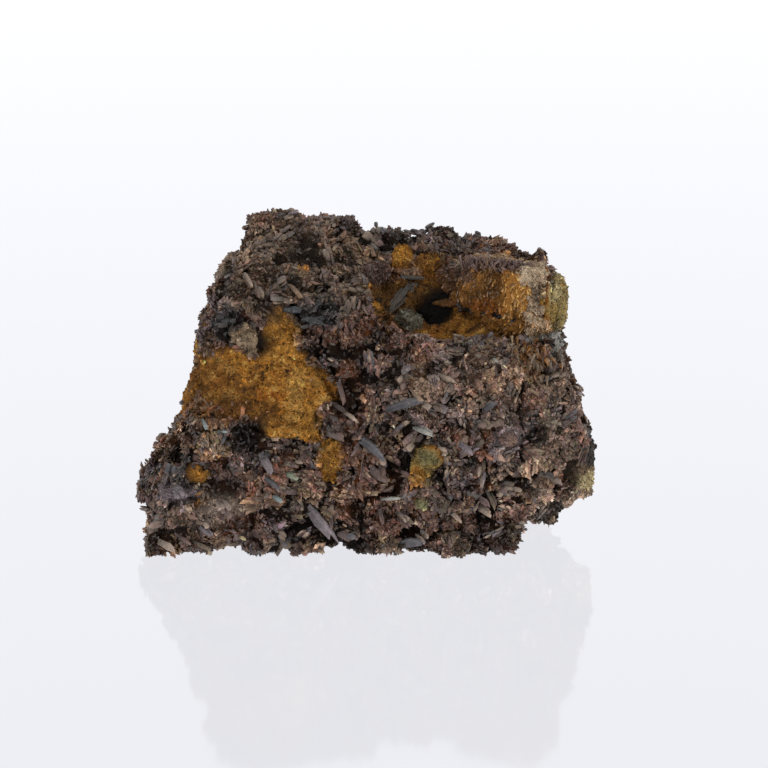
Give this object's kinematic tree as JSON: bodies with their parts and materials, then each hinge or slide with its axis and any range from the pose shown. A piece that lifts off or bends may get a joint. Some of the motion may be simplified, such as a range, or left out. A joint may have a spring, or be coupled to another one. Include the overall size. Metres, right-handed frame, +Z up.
{
  "type": "axinite mineral specimen",
  "caption": "Broken block of brown bladed axinite crystals on matrix, with bare ochre limonite patches, a hollow in the top and a flat underside to rest on.",
  "frame": {"origin": "middle of the bounding box on the surface that the stone rests on", "axes": "+X to the stone's right as the picture shows it, +Y away from the camera, +Z up"},
  "size_m": [0.0619, 0.0368, 0.0416],
  "materials": {
    "crust": "rough crust of purplish-brown bladed crystals with glassy faces, and bare grainy ochre patches"
  },
  "bodies": {
    "root": {"axinite_specimen": "crust"}
  },
  "joints": []
}
